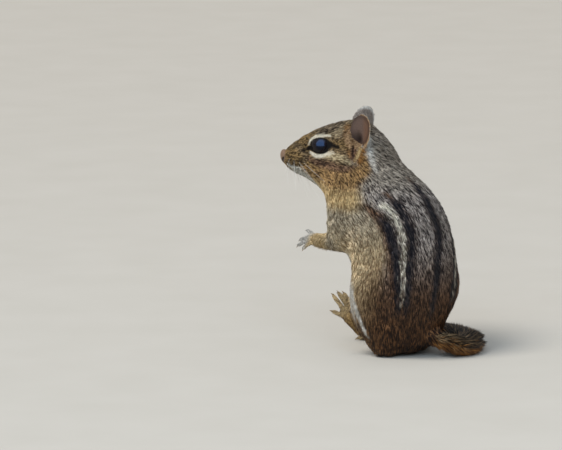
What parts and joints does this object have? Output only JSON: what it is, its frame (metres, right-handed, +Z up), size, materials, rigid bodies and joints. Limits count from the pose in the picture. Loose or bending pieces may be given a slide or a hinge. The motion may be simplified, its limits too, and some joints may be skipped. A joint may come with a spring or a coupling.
{
  "type": "chipmunk",
  "caption": "Life-size still model of a striped chipmunk sitting upright on its haunches, head turned to the side, forepaws held out and tail curled round on the floor.",
  "frame": {"origin": "on the floor, in the flat of the rump that the animal sits on", "axes": "+Z up, -Y the way the trunk faces, +X to the animal's own left"},
  "size_m": [0.0689, 0.0895, 0.11],
  "materials": {
    "coat": "short fur",
    "flank": "fur",
    "back": "striped fur",
    "foot": "very short fur",
    "ear": "thin skin with a fine down",
    "nose": "moist bare skin",
    "eye": "wet and glossy"
  },
  "bodies": {
    "root": {"head": "coat", "neck": "back", "trunk": "back", "thigh_left": "flank", "thigh_right": "flank", "foreleg_left": "flank", "foreleg_right": "flank", "hind_foot_left": "foot", "hind_foot_right": "foot", "forepaw_left": "foot", "forepaw_right": "foot", "ear_left": "ear", "ear_right": "ear", "nose": "nose", "eye_left": "eye", "eye_right": "eye", "tail_base": "back", "tail_middle": "back", "tail_tip": "back"}
  },
  "joints": []
}
